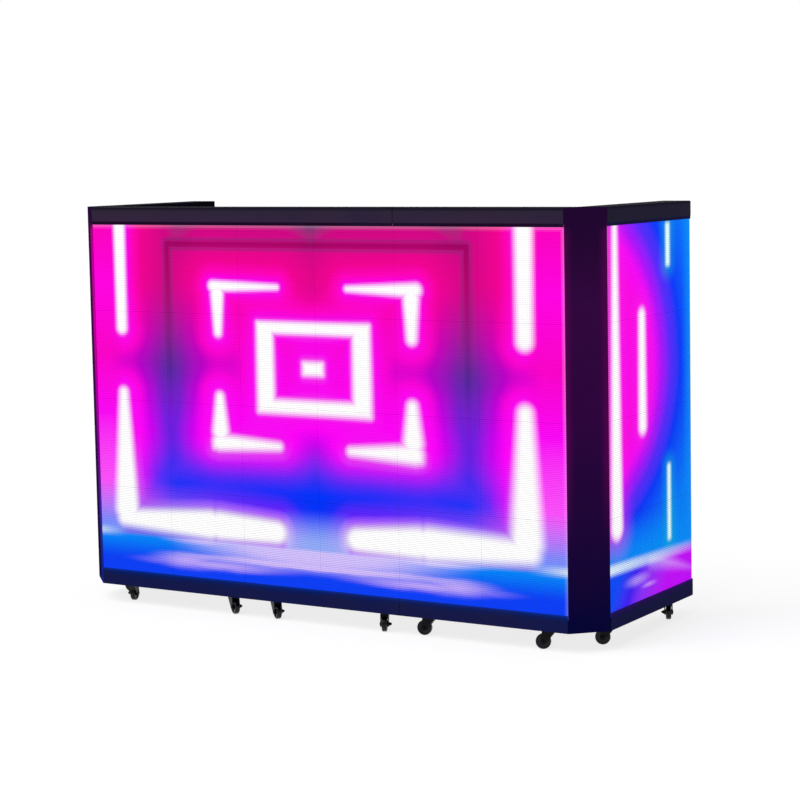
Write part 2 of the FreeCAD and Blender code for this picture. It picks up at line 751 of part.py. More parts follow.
def export_wing(side, name, headings):
    where = in_wing(side)
    prefix = "wing_" + name + "_"
    seats = []
    for seat in hinge_screw_seats():
        along = hinge_x - seat.x + hinge_y - wing_centre_y
        seats.append(Vector(side * along, seat.y - front_y, seat.z))
    export(prefix + "cabinet", [placed(cabinet((side,), seats), where)])
    export(prefix + "cover", [placed(rear_cover(), where)])
    export(prefix + "led_tiles", [placed(tile, where) for tile in led_tiles()])
    export(prefix + "power_supply", [placed(power_supply(), where)])
    export(prefix + "receiver_card", [placed(receiver_card(), where)])
    export(prefix + "sockets", [placed(socket, where) for socket in sockets()])
    all_seats = cover_screw_seats() + seats
    export(prefix + "screws", [placed(screw(seat, Vector(0, 1, 0)), where) for seat in all_seats])
    export(prefix + "top_rail", [placed(top_rail(-cabinet_half, cabinet_half), where)])
    reach = unit_width / 2 - wing_caster_inset
    export(prefix + "plinth", [placed(plinth(-cabinet_half, cabinet_half, (-reach, reach)), where)])
    export(prefix + "hinge_leaves", [on_side(wing_leaf(bottom), side) for bottom in hinge_bottoms])
    stem_x = side * (overall_width / 2 - panel_depth / 2)
    for number, (along, heading) in enumerate(zip((-reach, reach), headings), start=1):
        export_caster(name + "_" + str(number), stem_x, wing_centre_y + along, heading)


os.makedirs("parts", exist_ok=True)
export_front()
export_wing(-1, "left", left_headings)
export_wing(1, "right", right_headings)
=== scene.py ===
# LED screen DJ booth front: lit LED tiles, dark coated trim, folding wings and swivel casters
import json
import math

import bmesh
import bpy
from mathutils import Matrix, Vector


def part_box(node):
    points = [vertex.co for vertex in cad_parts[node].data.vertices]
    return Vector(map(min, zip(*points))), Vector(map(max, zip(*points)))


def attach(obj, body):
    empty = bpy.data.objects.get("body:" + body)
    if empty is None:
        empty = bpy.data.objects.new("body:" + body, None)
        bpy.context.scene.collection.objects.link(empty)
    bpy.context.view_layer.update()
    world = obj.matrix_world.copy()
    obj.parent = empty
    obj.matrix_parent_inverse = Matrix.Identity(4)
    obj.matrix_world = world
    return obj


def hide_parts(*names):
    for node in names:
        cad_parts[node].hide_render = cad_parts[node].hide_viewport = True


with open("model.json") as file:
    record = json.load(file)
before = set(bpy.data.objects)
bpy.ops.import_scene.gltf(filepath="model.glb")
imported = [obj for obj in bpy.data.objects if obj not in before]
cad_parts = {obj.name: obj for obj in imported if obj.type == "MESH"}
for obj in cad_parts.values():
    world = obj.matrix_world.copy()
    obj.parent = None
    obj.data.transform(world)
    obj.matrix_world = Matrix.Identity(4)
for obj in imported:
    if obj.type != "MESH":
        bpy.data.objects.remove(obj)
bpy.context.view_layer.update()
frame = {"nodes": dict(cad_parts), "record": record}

nodes = frame["nodes"]
slot_of_node = {entry["node"]: entry["material_slot"] for entry in frame["record"]["subparts"]}
scene = bpy.context.scene

# Places taken from the frame, in metres
cabinet_low, cabinet_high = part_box("front_cabinet_centre")
screen_foot = cabinet_low.z
screen_height = cabinet_high.z - cabinet_low.z
visible_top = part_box("front_top_rail_long")[0].z
front_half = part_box("front_led_tiles")[1].x
wing_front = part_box("wing_right_cabinet")[0].y
column_low, column_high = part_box("corner_column_right")

# LED tiles: tiles in one column, lamps along one side of a tile, and the fin above each row of lamps
tiles_per_column = 4
lamps_per_tile = 52
tile_side = screen_height / tiles_per_column
lamp_pitch = tile_side / lamps_per_tile
fin_share = 0.10
# The fins glow at this share of the lamps: painted light that stands for the lamps' light caught on the fins
fin_painted_glow_share = 0.75
fin_depth = 0.0009

# One lamp, in shares of the pitch, and how bright it is against the gap around it
cell_middle_share = 0.5
lamp_radius_share = 0.40
lamp_soft_share = 0.16
lamp_gap_share = 0.85
lamp_strength = 1.11
facing_low_share = 0.5
facing_high_share = 0.6


# Numbers and colours that a material works out at each point
full_value = 255
straight_end_share = 0.04045
straight_slope = 12.92
curve_offset = 0.055
curve_power = 2.4


def light_share(value):
    """The light that one screen value, 0 to 255, stands for: a straight start and then a curve."""
    share = value / full_value
    if share <= straight_end_share:
        return share / straight_slope
    return ((share + curve_offset) / (1 + curve_offset)) ** curve_power


def linear(colour):
    """A colour written in screen values as the light that it stands for."""
    return tuple(light_share(value) for value in colour)


class Field:
    """A number, a colour or a direction that a material works out at each point of a surface."""

    def __init__(self, tree, socket):
        self.tree = tree
        self.socket = socket

    def maths(self, operation, *others):
        node = self.tree.nodes.new("ShaderNodeMath")
        node.operation = operation
        for place, value in enumerate((self, *others)):
            feed(self.tree, value, node.inputs[place])
        return Field(self.tree, node.outputs[0])

    def __add__(self, other):
        return self.maths("ADD", other)

    def __sub__(self, other):
        return self.maths("SUBTRACT", other)

    def __mul__(self, other):
        return self.maths("MULTIPLY", other)

    def __abs__(self):
        return self.maths("ABSOLUTE")


def feed(tree, value, socket):
    """Sets a socket to a field, a written colour or a plain number."""
    if isinstance(value, Field):
        tree.links.new(value.socket, socket)
    elif isinstance(value, tuple):
        socket.default_value = (*linear(value), 1)
    else:
        socket.default_value = value


def least(first, *others):
    for other in others:
        first = first.maths("MINIMUM", other)
    return first


def most(first, *others):
    for other in others:
        first = first.maths("MAXIMUM", other)
    return first


def reach(across, up):
    """The distance that two offsets make together."""
    return (across * across + up * up).maths("SQRT")


def smooth(value, low, high):
    """Rises gently from 0 at low to 1 at high, or falls where low is the greater."""
    node = value.tree.nodes.new("ShaderNodeMapRange")
    node.interpolation_type = "SMOOTHSTEP"
    feed(value.tree, value, node.inputs["Value"])
    feed(value.tree, low, node.inputs["From Min"])
    feed(value.tree, high, node.inputs["From Max"])
    return Field(value.tree, node.outputs["Result"])


def ramp(value, stops):
    """The colour at value along a row of (value, colour) stops."""
    tree = value.tree
    first, last = stops[0][0], stops[-1][0]
    scaled = tree.nodes.new("ShaderNodeMapRange")
    feed(tree, value, scaled.inputs["Value"])
    feed(tree, first, scaled.inputs["From Min"])
    feed(tree, last, scaled.inputs["From Max"])
    node = tree.nodes.new("ShaderNodeValToRGB")
    tree.links.new(scaled.outputs["Result"], node.inputs["Fac"])
    elements = node.color_ramp.elements
    while len(elements) < len(stops):
        elements.new(1)
    for element, (place, colour) in zip(elements, stops):
        element.position = (place - first) / (last - first)
        element.color = (*linear(colour), 1)
    return Field(tree, node.outputs["Color"])


# Where a mix node keeps its colours among its inputs and outputs
colour_first, colour_second, colour_result = 6, 7, 2


def blend(first, second, share):
    """Mixes two colours by a share from 0 to 1."""
    node = share.tree.nodes.new("ShaderNodeMix")
    node.data_type = "RGBA"
    feed(share.tree, share, node.inputs[0])
    feed(share.tree, first, node.inputs[colour_first])
    feed(share.tree, second, node.inputs[colour_second])
    return Field(share.tree, node.outputs[colour_result])


def coordinates(tree, kind):
    """The three numbers of one kind of coordinate."""
    coordinate = tree.nodes.new("ShaderNodeTexCoord")
    parts = tree.nodes.new("ShaderNodeSeparateXYZ")
    tree.links.new(coordinate.outputs[kind], parts.inputs[0])
    return [Field(tree, output) for output in parts.outputs]


def place_of(tree):
    """The point's own place on the object, in metres."""
    return coordinates(tree, "Object")


def normal_of(tree):
    """The way that the surface faces on the object."""
    return coordinates(tree, "Normal")


noise_detail = 2.0
noise_roughness = 0.5


def noise(first, second, third, detail=noise_detail):
    """Soft random patches, one unit across."""
    tree = first.tree
    join = tree.nodes.new("ShaderNodeCombineXYZ")
    for value, socket in zip((first, second, third), join.inputs):
        feed(tree, value, socket)
    node = tree.nodes.new("ShaderNodeTexNoise")
    tree.links.new(join.outputs[0], node.inputs["Vector"])
    feed(tree, 1.0, node.inputs["Scale"])
    feed(tree, detail, node.inputs["Detail"])
    feed(tree, noise_roughness, node.inputs["Roughness"])
    return Field(tree, node.outputs["Fac"])


# Shapes of the screens' pictures, in shares of the screen's height


def tube(across, up, start, end, start_radius, end_radius):
    """How far a point is outside a straight tube with round ends and its own radius at each end."""
    run, rise = end[0] - start[0], end[1] - start[1]
    squared = run * run + rise * rise
    along = ((across - start[0]) * (run / squared) + (up - start[1]) * (rise / squared))
    along = along.maths("ADD", 0)
    along.socket.node.use_clamp = True
    off_across = across - start[0] - along * run
    off_up = up - start[1] - along * rise
    return reach(off_across, off_up) - (along * (end_radius - start_radius) + start_radius)


def plate(across, up, middle, half_size):
    """How far a point is outside a rectangle, and below zero inside it."""
    over_across = abs(across - middle[0]) - half_size[0]
    over_up = abs(up - middle[1]) - half_size[1]
    outside = reach(most(over_across, 0), most(over_up, 0))
    return outside + least(most(over_across, over_up), 0)


def spots(across, up, shares):
    """How far out a point lies in the nearest of some ovals: 0 at its middle and 1 along its edge."""
    return least(*(reach((across - middle[0]) * (1 / half_size[0]), (up - middle[1]) * (1 / half_size[1]))
                   for middle, half_size in shares))


white = (255, 255, 255)
wave_middle_share = 0.5

# Front picture, from its own middle line and the screen's foot
front_middle_share = -0.011
square_shares = ((0.000, 0.610), (0.178, 0.120))
square_hole_shares = ((0.000, 0.612), (0.132, 0.094))
dot_shares = ((0.000, 0.610), (0.029, 0.014))
upper_side_shares = ((0.645, 1.040), (0.645, 0.704), 0.016, 0.013)
lower_corner_shares = (
    ((0.645, 0.520), (0.645, 0.190), 0.010, 0.034),
    ((0.655, 0.163), (0.355, 0.163), 0.017, 0.035),
    ((0.320, 0.163), (0.130, 0.158), 0.034, 0.026),
)
upper_bracket_shares = (
    ((0.325, 0.827), (0.113, 0.827), 0.011, 0.003),
    ((0.311, 0.805), (0.311, 0.700), 0.017, 0.008),
)
upper_bracket_corner_shares = ((0.312, 0.821), (0.003, 0.010))
lower_bracket_shares = (
    ((0.315, 0.396), (0.116, 0.394), 0.017, 0.005),
    ((0.310, 0.428), (0.310, 0.522), 0.021, 0.008),
)
lower_bracket_corner_shares = ((0.319, 0.392), (0.012, 0.010))
glow_join_share = 0.105

# Colours around the tubes, by the distance from them, at four heights
top_glow_shares = (
    (0.00, (240, 0, 250)), (0.03, (255, 0, 185)), (0.06, (240, 0, 145)), (0.15, (205, 5, 130)),
    (0.20, (90, 60, 110)),
)
middle_glow_shares = (
    (0.00, (240, 70, 235)), (0.02, (250, 5, 240)), (0.05, (250, 0, 215)), (0.08, (180, 0, 200)),
    (0.12, (130, 25, 180)), (0.15, (70, 45, 160)),
)
lower_glow_shares = (
    (0.00, (240, 20, 235)), (0.04, (255, 0, 250)), (0.08, (200, 0, 240)), (0.13, (110, 30, 230)),
    (0.15, (155, 0, 245)),
)
bottom_glow_shares = (
    (0.00, (160, 0, 215)), (0.02, (170, 95, 255)), (0.04, (95, 35, 250)), (0.08, (20, 45, 250)),
    (0.11, (0, 50, 250)),
)
middle_to_top_shares = (0.565, 0.872)
lower_to_middle_shares = (0.402, 0.621)
lower_to_bottom_shares = (0.421, 0.263)
outer_shares = (
    (0.07, (10, 170, 255)), (0.16, (135, 135, 250)), (0.27, (250, 80, 250)), (0.46, (250, 5, 245)),
    (0.63, (250, 0, 200)), (0.82, (255, 0, 225)), (1.00, (250, 0, 185)),
)
outer_side_shares = (0.633, 0.698)
bottom_side_shares = (0.697, 0.461)


def tubes(across, up, shares):
    """How far a point is outside the nearest of some tubes."""
    return least(*(tube(across, up, *one) for one in shares))


def front_picture(across, up):
    """Nested white light tubes that glow magenta above and blue below, over a hazy floor."""
    right = across - front_middle_share
    across = abs(right)
    square = most(plate(across, up, *square_shares), plate(across, up, *square_hole_shares) * -1)
    groups = (
        square,
        plate(across, up, *dot_shares),
        tube(across, up, *upper_side_shares),
        tubes(across, up, lower_corner_shares),
        least(tubes(across, up, upper_bracket_shares), plate(across, up, *upper_bracket_corner_shares)),
        least(tubes(across, up, lower_bracket_shares), plate(across, up, *lower_bracket_corner_shares)),
    )
    glow = groups[0]
    for group in groups[1:]:
        glow = glow.maths("SMOOTH_MIN", group, glow_join_share)
    middle, top = ramp(glow, middle_glow_shares), ramp(glow, top_glow_shares)
    picture = blend(middle, top, smooth(up, *middle_to_top_shares))
    picture = blend(ramp(glow, lower_glow_shares), picture, smooth(up, *lower_to_middle_shares))
    at_bottom = smooth(up, *lower_to_bottom_shares) * smooth(across, *bottom_side_shares)
    picture = blend(picture, ramp(glow, bottom_glow_shares), at_bottom)
    picture = front_haze(picture, across, up)
    picture = blend(picture, ramp(up, outer_shares), smooth(across, *outer_side_shares))
    picture = front_line(picture, across, up)
    picture = front_floor(picture, across, up)
    return front_rim_highlight(front_tubes(picture, least(*groups), right, up), right, up)


haze_colour = (94, 118, 235)
haze_up_shares = (0.301, 0.080)
haze_side_shares = (0.127, 0.608)
mist_colour = (223, 255, 245)
mist_up_shares = (0.234, 0.128)
mist_side_shares = (0.117, 0.091)
mist_share = 0.385


def front_haze(picture, across, up):
    """Pale haze low at the outer sides, and in the gap between the two bottom tubes."""
    outer = smooth(up, *haze_up_shares) * smooth(across, *haze_side_shares)
    picture = blend(picture, haze_colour, outer)
    inner = smooth(up, *mist_up_shares) * smooth(across, *mist_side_shares) * mist_share
    return blend(picture, mist_colour, inner)


line_shares = ((0.000, 0.622), (0.479, 0.319))
line_edge_shares = (0.013, 0.004)
line_dark_share = 0.014
line_more_dark_share = 0.838
line_up_shares = (0.238, 1.636)
pale_line_in_shares = (0.006, 0.013)
pale_line_out_shares = (0.022, 0.013)
pale_line_up_shares = (0.500, 0.800)
pale_line_share = 0.560
pale_line_colour = (127, 34, 114)
black = (0, 0, 0)


def front_line(picture, across, up):
    """A thin dark rectangle round the brackets, with a pale line on each side of it."""
    off_line = abs(plate(across, up, *line_shares))
    dark = smooth(up, *line_up_shares) * line_more_dark_share + line_dark_share
    picture = blend(picture, black, smooth(off_line, *line_edge_shares) * dark)
    pale = smooth(off_line, *pale_line_in_shares) * smooth(off_line, *pale_line_out_shares)
    return blend(picture, pale_line_colour, pale * smooth(up, *pale_line_up_shares) * pale_line_share)


floor_side_colour = (0, 142, 250)
floor_deep_colour = (11, 63, 246)
floor_deep_shares = (0.135, 0.040)
floor_haze_colour = (235, 206, 251)
floor_haze_spot_shares = (((0.000, 0.109), (0.542, 0.069)), ((0.000, 0.072), (0.582, 0.018)))
floor_haze_edge_shares = (0.968, 0.318)
floor_haze_share = 0.747
floor_streak_colour = (255, 216, 253)
floor_streak_spot_shares = (
    ((0.400, 0.115), (0.145, 0.015)),
    ((0.435, 0.055), (0.155, 0.030)),
    ((0.340, 0.050), (0.310, 0.020)),
)
floor_streak_edge_shares = (1.081, 0.000)
floor_streak_share = 0.493
floor_wave_across_scale = 9.0
floor_wave_up_scale = 40.0
floor_wave_share = 0.008
floor_top_shares = (0.122, 0.111)
floor_edge_colour = (249, 255, 234)
floor_line_share = 0.122
floor_line_shares = (0.020, 0.000)
floor_line_side_shares = (0.636, 0.849)
floor_line_strength_share = 0.969


def front_floor(picture, across, up):
    """The glossy floor under the tubes: cyan to blue, with pale haze and paler streaks in the middle."""
    wave = noise(across * floor_wave_across_scale, up * floor_wave_up_scale, 0.0)
    wavy = up + (wave - wave_middle_share) * floor_wave_share
    floor = blend(floor_side_colour, floor_deep_colour, smooth(up, *floor_deep_shares))
    haze = smooth(spots(across, wavy, floor_haze_spot_shares), *floor_haze_edge_shares)
    floor = blend(floor, floor_haze_colour, haze * floor_haze_share)
    streaks = smooth(spots(across, wavy, floor_streak_spot_shares), *floor_streak_edge_shares)
    floor = blend(floor, floor_streak_colour, streaks * floor_streak_share)
    picture = blend(picture, floor, smooth(up, *floor_top_shares))
    line = smooth(abs(up - floor_line_share), *floor_line_shares) * smooth(across, *floor_line_side_shares)
    return blend(picture, floor_edge_colour, line * floor_line_strength_share)


tube_soft_share = 0.008
tube_more_soft_share = 0.007
tube_soft_up_shares = (0.963, 0.091)
tube_inner_edge_share = -0.78
tube_outer_edge_share = 1.50
tube_right_shares = (0.00, 0.65)
tube_right_wide_share = 0.005
tube_right_soft_share = 0.004


def front_tubes(picture, core, right, up):
    """The white tubes themselves: softer lower down, and both wider and softer towards the right."""
    at_right = smooth(right, *tube_right_shares)
    soft = smooth(up, *tube_soft_up_shares) * tube_more_soft_share + at_right * tube_right_soft_share
    core = core - at_right * tube_right_wide_share
    lit = smooth(core.maths("DIVIDE", soft + tube_soft_share), tube_outer_edge_share, tube_inner_edge_share)
    return blend(picture, white, lit)


# Painted highlight along the screen's top and right end
rim_right_share = front_half / screen_height - front_middle_share
rim_top_share = (visible_top - screen_foot) / screen_height
rim_edge_shares = (0.012, 0.000)
rim_share = 0.10


def front_rim_highlight(picture, right, up):
    """A painted highlight: a paler rim along the screen's top and its right end."""
    off_rim = least(right * -1 + rim_right_share, up * -1 + rim_top_share)
    return blend(picture, white, smooth(off_rim, *rim_edge_shares) * rim_share)


# Wing picture, from the wing's front end and the screen's foot
long_tube_shares = ((0.043, 1.040), (0.044, 0.223), 0.014, 0.034)
short_tube_shares = ((0.198, 0.754), (0.199, 0.467), 0.020, 0.024)
wing_top_tube_shares = ((0.358, 0.931), (0.005, 0.050))
wing_low_tube_shares = ((0.358, 0.245), (0.003, 0.095))
wing_oval_middle_shares = (-0.152, 0.617)
wing_oval_side_share = 0.521
wing_oval_up_share = 0.482
wing_oval_down_share = 0.393
wing_glow_shares = (
    (0.10, (255, 0, 255)), (0.65, (250, 0, 225)), (0.80, (245, 0, 245)), (0.90, (170, 15, 250)),
    (1.00, (90, 40, 250)), (1.12, (5, 55, 250)), (1.45, (0, 125, 250)),
)
wing_side_colour = (5, 142, 246)
wing_side_shares = (0.437, 0.515)
wing_low_colour = (0, 141, 249)
wing_low_shares = (0.251, 0.103)
wing_near_shares = (0.083, -0.139)
wing_near_colour = (255, 34, 228)
wing_rim_shares = (0.015, -0.012)
wing_rim_share = 0.931
wing_rim_colour = (247, 172, 250)
wing_halo_shares = (0.061, -0.063)
wing_halo_colour = (17, 193, 174)
wing_left_shares = (0.025, -0.002)
wing_left_up_shares = (0.136, 0.262)
wing_left_colour = (224, 68, 199)
wing_core_shares = (0.008, -0.021)
wing_cyan_core_shares = (0.017, -0.004)
wing_cyan_core_colour = (228, 255, 255)


def wing_picture(across, up):
    """White tubes on an oval of magenta that turns blue, over a pale horizon and a violet floor."""
    off_up = up - wing_oval_middle_shares[1]
    stretched = most(off_up * (1 / wing_oval_up_share), off_up * (-1 / wing_oval_down_share))
    oval = reach((across - wing_oval_middle_shares[0]) * (1 / wing_oval_side_share), stretched)
    picture = ramp(oval, wing_glow_shares)
    picture = blend(picture, wing_side_colour, smooth(across, *wing_side_shares))
    picture = blend(picture, wing_low_colour, smooth(up, *wing_low_shares))
    core = least(tube(across, up, *long_tube_shares), tube(across, up, *short_tube_shares))
    cyan_core = least(plate(across, up, *wing_top_tube_shares), plate(across, up, *wing_low_tube_shares))
    picture = blend(picture, wing_near_colour, smooth(core, *wing_near_shares))
    picture = blend(picture, wing_halo_colour, smooth(cyan_core, *wing_halo_shares))
    left = smooth(across, *wing_left_shares) * smooth(up, *wing_left_up_shares)
    picture = blend(picture, wing_left_colour, left)
    picture = wing_floor(picture, across, up)
    picture = blend(picture, wing_rim_colour, smooth(core, *wing_rim_shares) * wing_rim_share)
    picture = blend(picture, white, smooth(core, *wing_core_shares))
    return blend(picture, wing_cyan_core_colour, smooth(cyan_core, *wing_cyan_core_shares))


wing_floor_slant_share = 0.778
wing_floor_up_share = 0.121
wing_floor_shares = (
    (0.08, (10, 75, 250)), (0.18, (65, 30, 245)), (0.25, (135, 50, 250)), (0.41, (195, 10, 250)),
)
wing_horizon_tilt_share = 0.026
wing_floor_top_shares = (0.134, 0.108)
wing_horizon_share = 0.118
wing_horizon_shares = (0.022, 0.003)
wing_horizon_strength_share = 0.896
wing_horizon_fade_share = 1.506
wing_horizon_colour = (228, 246, 252)
wing_spot_colour = (255, 213, 255)
wing_spot_shares = (((0.160, 0.068), (0.090, 0.020)), ((0.230, 0.045), (0.058, 0.009)))
wing_spot_edge_shares = (1.090, -0.028)
wing_spot_share = 0.367
wing_streak_colour = (255, 253, 255)
wing_streak_shares = ((0.250, 0.110), (0.500, 0.042), 0.018, -0.009)
wing_streak_edge_shares = (0.025, -0.034)
wing_streak_share = 0.422


def wing_floor(picture, across, up):
    """The wing picture's floor: blue in front, violet behind, with pale streaks and a pale horizon."""
    floor = ramp(across - (up - wing_floor_up_share) * wing_floor_slant_share, wing_floor_shares)
    bright = smooth(spots(across, up, wing_spot_shares), *wing_spot_edge_shares)
    floor = blend(floor, wing_spot_colour, bright * wing_spot_share)
    streak = smooth(tube(across, up, *wing_streak_shares), *wing_streak_edge_shares)
    floor = blend(floor, wing_streak_colour, streak * wing_streak_share)
    tilted = across * wing_horizon_tilt_share + up
    picture = blend(picture, floor, smooth(tilted, *wing_floor_top_shares))
    horizon = smooth(abs(tilted - wing_horizon_share), *wing_horizon_shares)
    strength = across * -wing_horizon_fade_share + wing_horizon_strength_share
    return blend(picture, wing_horizon_colour, horizon * strength)


# Materials


def new_material(name):
    """An empty material with its shader and its output joined."""
    material = bpy.data.materials.new(name)
    material.use_nodes = True
    tree = material.node_tree
    tree.nodes.clear()
    shader = tree.nodes.new("ShaderNodeBsdfPrincipled")
    output = tree.nodes.new("ShaderNodeOutputMaterial")
    tree.links.new(shader.outputs[0], output.inputs["Surface"])
    return material, tree, shader


tile_face_colour = (3, 3, 4)
tile_roughness = 0.6
tile_specular = 0.01


def led_material(name, picture, across_axis, across_start, facing_axis, facing_sign):
    """An LED tile's face: dark, with a grid of lamps that show the picture, one colour to each lamp."""
    material, tree, shader = new_material(name)
    place = place_of(tree)
    across = place[across_axis] - across_start
    up = place[2] - screen_foot
    lamp_across = across.maths("SNAP", lamp_pitch) + lamp_pitch / 2
    lamp_up = up.maths("SNAP", lamp_pitch) + lamp_pitch / 2
    shown = picture(lamp_across * (1 / screen_height), lamp_up * (1 / screen_height))
    in_cell_across = (across * (1 / lamp_pitch)).maths("FRACT") - cell_middle_share
    in_cell_up = (up * (1 / lamp_pitch)).maths("FRACT")
    off_lamp = reach(in_cell_across, in_cell_up - (1 - fin_share) / 2)
    dot = smooth(off_lamp, lamp_radius_share + lamp_soft_share, lamp_radius_share - lamp_soft_share)
    bright = dot * (1 - lamp_gap_share) + lamp_gap_share
    # The fins glow though they are no lamps: painted light from the lamps
    on_strip = in_cell_up.maths("LESS_THAN", 1 - fin_share) * (1 - fin_painted_glow_share) + fin_painted_glow_share
    facing = smooth(normal_of(tree)[facing_axis] * facing_sign, facing_low_share, facing_high_share)
    tree.links.new(shown.socket, shader.inputs["Emission Color"])
    tree.links.new((bright * on_strip * facing * lamp_strength).socket, shader.inputs["Emission Strength"])
    feed(tree, tile_face_colour, shader.inputs["Base Color"])
    feed(tree, tile_roughness, shader.inputs["Roughness"])
    feed(tree, tile_specular, shader.inputs["Specular IOR Level"])
    return material


# Paler edges: partly wear, partly a painted highlight along the edges
wear_and_highlight_low_share = 0.02
wear_and_highlight_high_share = 0.30
wear_speckle_scale = 260.0
wear_speckle_shares = (0.46, 0.62)
bevel_samples = 6


def worn_and_highlit_edges(tree, place, width):
    """1 along the sharp edges of a piece, broken up where the coat has held: marks both wear and a painted
    edge highlight.
    """
    rounded = tree.nodes.new("ShaderNodeBevel")
    rounded.samples = bevel_samples
    feed(tree, width, rounded.inputs["Radius"])
    flat = tree.nodes.new("ShaderNodeNewGeometry")
    compare = tree.nodes.new("ShaderNodeVectorMath")
    compare.operation = "DOT_PRODUCT"
    tree.links.new(rounded.outputs[0], compare.inputs[0])
    tree.links.new(flat.outputs["Normal"], compare.inputs[1])
    turn = Field(tree, compare.outputs["Value"]) * -1 + 1
    speckle = noise(*(axis * wear_speckle_scale for axis in place))
    return smooth(turn, wear_and_highlight_low_share, wear_and_highlight_high_share) * smooth(speckle, *wear_speckle_shares)


def grain_bump(tree, height, strength, depth, bevel_width=None):
    """A normal from a fine height pattern, over edges that are a little rounded."""
    bump = tree.nodes.new("ShaderNodeBump")
    feed(tree, strength, bump.inputs["Strength"])
    feed(tree, depth, bump.inputs["Distance"])
    tree.links.new(height.socket, bump.inputs["Height"])
    if bevel_width:
        rounded = tree.nodes.new("ShaderNodeBevel")
        rounded.samples = bevel_samples
        feed(tree, bevel_width, rounded.inputs["Radius"])
        tree.links.new(rounded.outputs[0], bump.inputs["Normal"])
    return bump.outputs[0]


edge_radius = 0.0012
patch_shares = (0.42, 0.72)
patch_share = 0.35
patch_detail = 4.0
grain_detail = 1.0
wear_and_highlight_width = 0.0009
patch_scale = 5.0
coat_grain_scale = 620.0
coat_grain_strength = 0.25
coat_grain_depth = 0.0004
rough_spread_share = 0.10


def coated_metal(name, colour, patch_colour, worn_and_highlight_colour, roughness, specular):
    """Powder-coated metal: fine grain, soft patches of handling, and a paler line on the edges that is partly
    wear and partly a painted highlight.

    The colour is a plain one, or a function that works it out from the place and the way that it faces.
    """
    material, tree, shader = new_material(name)
    place = place_of(tree)
    patches = noise(*(axis * patch_scale for axis in place), patch_detail)
    grain = noise(*(axis * coat_grain_scale for axis in place), grain_detail)
    base = colour(place, normal_of(tree)) if callable(colour) else colour
    paint = blend(base, patch_colour, smooth(patches, *patch_shares) * patch_share)
    # Paler edges: wear and a painted edge highlight
    paint = blend(paint, worn_and_highlight_colour, worn_and_highlit_edges(tree, place, wear_and_highlight_width))
    tree.links.new(paint.socket, shader.inputs["Base Color"])
    rough = patches * (2 * rough_spread_share) + (roughness - rough_spread_share)
    tree.links.new(rough.socket, shader.inputs["Roughness"])
    feed(tree, specular, shader.inputs["Specular IOR Level"])
    bump = grain_bump(tree, grain, coat_grain_strength, coat_grain_depth, edge_radius)
    tree.links.new(bump, shader.inputs["Normal"])
    return material


metal_brush_across = 900.0
metal_brush_along = 24.0
metal_rough_shares = (0.35, 0.65)
metal_bump_strength = 0.12
metal_bump_depth = 0.0002


def plain_metal(name, colour, dark_colour, roughness):
    """Bare metal with fine drawn lines and darker patches."""
    material, tree, shader = new_material(name)
    place = place_of(tree)
    lines = noise(place[0] * metal_brush_across, place[1] * metal_brush_across, place[2] * metal_brush_along)
    patches = noise(*(axis * patch_scale for axis in place), patch_detail)
    paint = blend(colour, dark_colour, smooth(patches, *metal_rough_shares))
    tree.links.new(paint.socket, shader.inputs["Base Color"])
    rough = lines * (2 * rough_spread_share) + (roughness - rough_spread_share)
    tree.links.new(rough.socket, shader.inputs["Roughness"])
    feed(tree, 1.0, shader.inputs["Metallic"])
    tree.links.new(grain_bump(tree, lines, metal_bump_strength, metal_bump_depth), shader.inputs["Normal"])
    return material


plastic_scuff_scale = 90.0
plastic_scuff_detail = 5.0
plastic_scuff_share = 0.5
plastic_grain_scale = 1500.0
plastic_grain_strength = 0.10
plastic_grain_depth = 0.0002
plastic_scuff_shares = (0.52, 0.70)
plastic_edge_radius = 0.0006


def moulded_plastic(name, colour, scuff_colour, roughness, specular):
    """Moulded plastic with a faint texture and dull scuffs."""
    material, tree, shader = new_material(name)
    place = place_of(tree)
    scuffs = noise(*(axis * plastic_scuff_scale for axis in place), plastic_scuff_detail)
    scuffs = smooth(scuffs, *plastic_scuff_shares)
    grain = noise(*(axis * plastic_grain_scale for axis in place), grain_detail)
    paint = blend(colour, scuff_colour, scuffs * plastic_scuff_share)
    tree.links.new(paint.socket, shader.inputs["Base Color"])
    rough = scuffs * (2 * rough_spread_share) + roughness
    tree.links.new(rough.socket, shader.inputs["Roughness"])
    feed(tree, specular, shader.inputs["Specular IOR Level"])
    bump = grain_bump(tree, grain, plastic_grain_strength, plastic_grain_depth, plastic_edge_radius)
    tree.links.new(bump, shader.inputs["Normal"])
    return material


# Column colours by height: painted light from the screens on a dark column, brightest in the middle of its
# height
column_lit_shares = (
    (0.00, (8, 9, 62)), (0.30, (40, 9, 66)), (0.55, (56, 9, 72)), (0.80, (58, 12, 71)), (1.00, (41, 11, 56)),
)
column_middle_share = 0.5
# Painted glow from the screens along the column's edges
column_glow_colour = (95, 6, 90)
column_glow_side_shares = (0.28, 0.50)
column_glow_up_shares = (0.15, 0.45)
column_glow_top_shares = (1.00, 0.97)
column_glow_share = 0.8
# Painted glow from the screens over the left column
column_left_glow_shares = (
    (0.03, (0, 54, 170)), (0.20, (72, 36, 165)), (0.33, (130, 4, 160)), (0.50, (185, 0, 165)),
    (0.75, (215, 0, 165)), (0.95, (205, 0, 160)),
)
column_left_shares = (-0.5, -0.7)
column_left_across_shares = (0.60, 0.00)
# Painted shade: the top face darker than the lit sides
column_top_shade_colour = (27, 21, 36)
column_top_shade_shares = (0.5, 0.9)


